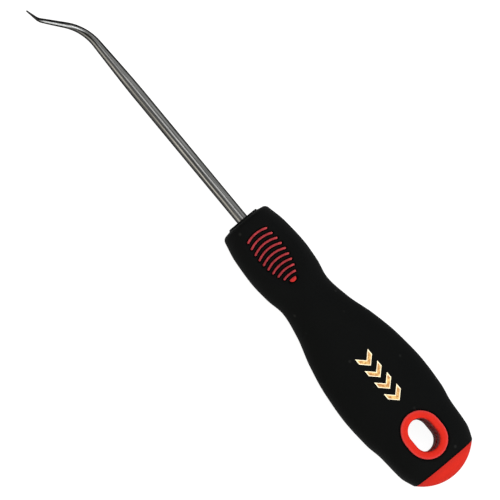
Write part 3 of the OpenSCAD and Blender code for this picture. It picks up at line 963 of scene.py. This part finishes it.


# Drawn steel: noise stretched fiftyfold along the straightened blade gives the streaks. The flanks and a
# line along the crest darken into the bend, and the hook past it is black, all painted dark reflections.
# A pale line, a painted highlight, starts on the bend's outer side, crosses the crest and runs to the
# second bend.
def makeSteel():
    material, tree, shader = newMaterial("drawn_steel")
    look = steelLook
    layout = stored(tree, "straightened", "Vector")
    along = split(tree, layout)["X"]
    bendEnd, middleEnd = -0.001 * bendLen, -0.001 * (bendLen + blade["middle"])

    stretched = node(tree, "ShaderNodeMapping", {"Vector": layout, "Scale": look["stretch"]})
    streak = noise(tree, stretched.outputs[0], *look["streakNoise"])
    drawn = mixColours(tree, ramp(tree, streak, *look["streaks"]), look["dark"], look["colour"])
    atFlank = bandMask(tree, layout, look["flankAlong"], look["flankAcross"], look["flankShift"])
    flanked = mixColours(tree, atFlank, drawn, look["flank"])
    atLine = bandMask(tree, layout, look["lineAlong"], look["lineAcross"], look["lineShift"])
    atLine = mathNode(tree, "MULTIPLY", atLine, ramp(tree, along, *look["lineEnd"]))
    lined = mixColours(tree, atLine, flanked, look["line"])
    # Painted dark reflection: the hook past the bend takes the flank colour
    onHook = ramp(tree, along, *[bendEnd + fade for fade in look["hookFade"]])
    hookPaintedDark = mixColours(tree, onHook, lined, look["flank"])

    # Painted highlight: a pale band that crosses the crest between the bend and the second bend
    shift = rangeNode(tree, along, *look["shiftAlong"], *look["crestHighlightShift"])
    paintedCrestHighlight = bandMask(tree, layout, look["crestHighlightAlong"], look["crestHighlightAcross"], shift)
    beforeEnd = ramp(tree, along, *[middleEnd + fade for fade in look["endFade"]])
    paintedCrestHighlight = mathNode(tree, "MULTIPLY", paintedCrestHighlight, beforeEnd)
    blotch = noise(tree, layout, *look["blotchNoise"])
    drawnRough = rangeNode(tree, blotch, *look["roughFrom"], *look["rough"])
    sources = {0: paintedCrestHighlight, 2: drawnRough, 3: look["roughCrestHighlight"]}
    rough = node(tree, "ShaderNodeMix", sources, data_type="FLOAT")
    feed(tree, shader, {
        "Base Color": mixColours(tree, paintedCrestHighlight, hookPaintedDark, look["paintedCrestHighlight"]), "Roughness": rough.outputs[0],
        "Normal": bump(tree, streak, *look["streakBump"]), "Metallic": 1.0,
        "Specular Tint": (*look["edge"], 1),
    })
    return material


goldLook = {
    "colour": (0.36, 0.15, 0.035), "pale": (0.64, 0.42, 0.14), "patches": (0.42, 0.6),
    # The rim colour is a painted highlight along the chevrons' edges
    "rim": (0.85, 0.75, 0.52), "rimFrom": (0.25, 0.7), "metallic": 0.4, "roughness": 0.5,
    "crinkle": (0.00006, 0.6), "specks": {"Grain scale": 1100.0},
}


# Gold foil: patchy, crinkled, and paler along its rim with a painted highlight
def makeGold():
    material, tree, shader = newMaterial("gold_foil")
    grain = placeSpecks(tree, goldLook["specks"])["Grain"]
    inner = mixColours(tree, ramp(tree, grain, *goldLook["patches"]), goldLook["colour"], goldLook["pale"])
    atRim = ramp(tree, stored(tree, "rim"), *goldLook["rimFrom"])
    feed(tree, shader, {
        "Base Color": mixColours(tree, atRim, inner, goldLook["rim"]),
        "Normal": bump(tree, grain, *goldLook["crinkle"]),
        "Metallic": goldLook["metallic"], "Roughness": goldLook["roughness"],
    })
    return material


# Gives a piece its material and slot, and puts it on the one body.
def dress(piece, material):
    piece.data.materials.clear()
    piece.data.materials.append(material)
    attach(piece, "root")


dress(sleeve, makeRubber())
dress(core, makeRed())
dress(steel, makeSteel())
dress(mark, makeGold())
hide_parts("grip_sleeve")
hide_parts("handle_core")
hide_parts("pick_blade")
print("materials done")


# Floor, world and lamps

# Each lamp: name, place, the X on the floor that it faces, size, power and colour
studio = {
    "floorHalf": 1.6, "floorGlow": 0.94, "floorColour": 0.2, "worldLight": 0.15,
    "lamps": [
        ("overheadLamp", (-0.1, 0.17, 1.08), -0.1, (0.6, 0.44), 5.0, (1.0, 1.0, 1.0)),
        ("sideLamp", (-0.1, -0.87, 0.45), -0.1, (0.6, 0.48), 4.7, (1.0, 0.94, 0.81)),
        ("softLamp", (-0.1, 0.91, 0.52), -0.1, (0.6, 0.95), 3.6, (0.98, 1.0, 1.0)),
        ("buttLamp", (0.95, 0.2, 0.36), 0.0, (0.6, 0.6), 5.6, (1.0, 1.0, 1.0)),
    ],
}


# 1 for the rays that should meet plain white: from the camera, and in gloss or glass.
def rayMask(tree):
    path = node(tree, "ShaderNodeLightPath").outputs
    seen = mathNode(tree, "MAXIMUM", path["Is Camera Ray"], path["Is Glossy Ray"])
    return mathNode(tree, "MAXIMUM", seen, path["Is Transmission Ray"])


# Pale floor: white paper that glows for the camera, and takes the object's soft shadow.
def buildFloor():
    half = studio["floorHalf"]
    corners = [(-half, -half, 0), (half, -half, 0), (half, half, 0), (-half, half, 0)]
    mesh = bpy.data.meshes.new("floor")
    mesh.from_pydata(corners, [], [(0, 1, 2, 3)])
    floor = bpy.data.objects.new("floor", mesh)
    bpy.context.scene.collection.objects.link(floor)
    material, tree, shader = newMaterial("floor_paper")
    grey = studio["floorColour"]
    feed(tree, shader, {
        "Base Color": (grey, grey, grey, 1), "Roughness": 1.0, "Specular IOR Level": 0.0,
        "Emission Color": (1, 1, 1, 1),
        "Emission Strength": rangeNode(tree, rayMask(tree), 0, 1, 0, studio["floorGlow"]),
    })
    mesh.materials.append(material)


# World: white for the camera and in gloss, and a low even light on the object
def buildWorld():
    world = bpy.data.worlds.new("studio")
    bpy.context.scene.world = world
    world.use_nodes = True
    tree = world.node_tree
    level = rangeNode(tree, rayMask(tree), 0, 1, studio["worldLight"], 1.0)
    feed(tree, tree.nodes["Background"], {"Color": (1, 1, 1, 1), "Strength": level})


# Soft oblong lamps, each turned to face a point of the line y = z = 0
def buildLamps():
    for name, at, facesX, size, power, colour in studio["lamps"]:
        data = bpy.data.lights.new(name, "AREA")
        data.shape = "RECTANGLE"
        data.size, data.size_y = size
        data.energy = power
        data.color = colour
        lamp = bpy.data.objects.new(name, data)
        lamp.location = at
        lamp.rotation_mode = "QUATERNION"
        lamp.rotation_quaternion = Vector((at[0] - facesX, *at[1:])).to_track_quat("Z", "Y")
        bpy.context.scene.collection.objects.link(lamp)


view = {
    "distance": 1.4, "lens": 315.0, "sensor": 36.0, "lean": 5.8, "right": (0.6372, 0.7707),
    "aimAt": (9.1, -4.32, 0.0),
}


# Camera above the tool, leaning to the side that the point bends to, and turned so that the blade
# runs to the upper left.
def buildCamera():
    lean = math.radians(view["lean"])
    back = Vector(turn((0, -math.sin(lean), math.cos(lean))))
    across = Vector(turn((0, math.cos(lean), math.sin(lean))))
    along = Vector(turn((1, 0, 0)))
    right = (view["right"][0] * along + view["right"][1] * across).normalized()
    up = back.cross(right)
    data = bpy.data.cameras.new("camera")
    data.lens = view["lens"]
    data.sensor_width = view["sensor"]
    data.clip_end = 10
    camera = bpy.data.objects.new("camera", data)
    where = Vector(place(view["aimAt"]).tolist()) + back * view["distance"]
    camera.matrix_world = Matrix.Translation(where) @ Matrix((right, up, back)).transposed().to_4x4()
    bpy.context.scene.collection.objects.link(camera)
    bpy.context.scene.camera = camera


buildFloor()
buildWorld()
buildLamps()
buildCamera()
bpy.context.scene.view_settings.view_transform = "Standard"
print("studio done")
